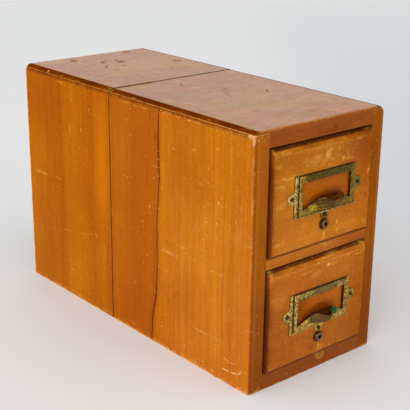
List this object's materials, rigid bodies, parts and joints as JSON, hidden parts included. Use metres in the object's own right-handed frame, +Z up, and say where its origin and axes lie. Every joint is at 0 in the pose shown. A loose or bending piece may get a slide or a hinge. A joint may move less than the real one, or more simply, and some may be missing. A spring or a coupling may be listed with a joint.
{
  "type": "index card drawer",
  "caption": "Wooden cabinet for index cards, its drawers one above the other, each with a brass label-frame pull, a card rod and a sliding follower.",
  "frame": {"origin": "centre of the case footprint, on the underside of the base", "axes": "+Z up; the drawers face -Y, so +Y is the cabinet's depth; +X to the right seen from the drawers"},
  "size_m": [0.1936, 0.4539, 0.2895],
  "materials": {
    "case_wood": "satin varnish, worn",
    "drawer_front_wood": "satin varnish, worn",
    "inner_wood": "bare, oiled",
    "plywood": "bare",
    "old_brass": "tarnished",
    "dark_brass": "dark patina",
    "rod_metal": "dark patina",
    "old_screw": "dark patina"
  },
  "bodies": {
    "case": {"back_panel": "plywood", "back_panel_screws": "old_screw", "bottom_front_board": "case_wood", "bottom_rear_board": "case_wood", "divider_rail": "case_wood", "divider_rear_rail": "inner_wood", "left_runner": "inner_wood", "left_side_front_board": "case_wood", "left_side_rear_board": "case_wood", "lower_drawer_stop": "inner_wood", "right_runner": "inner_wood", "right_side_front_board": "case_wood", "right_side_rear_board": "case_wood", "top_front_board": "case_wood", "top_rear_board": "case_wood", "upper_drawer_stop": "inner_wood"},
    "upper_drawer": {"upper_drawer_back": "inner_wood", "upper_drawer_bottom": "plywood", "upper_drawer_front": "drawer_front_wood", "upper_drawer_left_side": "inner_wood", "upper_drawer_right_side": "inner_wood", "upper_pull": "old_brass", "upper_pull_screws": "old_screw", "upper_rod_bush": "dark_brass", "upper_rod_ferrule": "dark_brass"},
    "upper_rod": {"upper_guide_rod": "rod_metal"},
    "upper_follower": {"upper_follower_block": "inner_wood"},
    "lower_drawer": {"lower_drawer_back": "inner_wood", "lower_drawer_bottom": "plywood", "lower_drawer_front": "drawer_front_wood", "lower_drawer_left_side": "inner_wood", "lower_drawer_right_side": "inner_wood", "lower_pull": "old_brass", "lower_pull_screws": "old_screw", "lower_rod_bush": "dark_brass", "lower_rod_ferrule": "dark_brass"},
    "lower_rod": {"lower_guide_rod": "rod_metal"},
    "lower_follower": {"lower_follower_block": "inner_wood"}
  },
  "joints": [
    {"name": "upper_drawer_slide", "type": "slide", "parent": "case", "child": "upper_drawer", "axis": [0, -1, 0], "range_m": [0, 0.36]},
    {"name": "upper_rod_slide", "type": "slide", "parent": "upper_drawer", "child": "upper_rod", "axis": [0, -1, 0], "range_m": [0, 0.42]},
    {"name": "upper_follower_slide", "type": "slide", "parent": "upper_drawer", "child": "upper_follower", "axis": [0, -1, 0], "range_m": [0, 0.3]},
    {"name": "lower_drawer_slide", "type": "slide", "parent": "case", "child": "lower_drawer", "axis": [0, -1, 0], "range_m": [0, 0.36]},
    {"name": "lower_rod_slide", "type": "slide", "parent": "lower_drawer", "child": "lower_rod", "axis": [0, -1, 0], "range_m": [0, 0.42]},
    {"name": "lower_follower_slide", "type": "slide", "parent": "lower_drawer", "child": "lower_follower", "axis": [0, -1, 0], "range_m": [0, 0.3]}
  ]
}
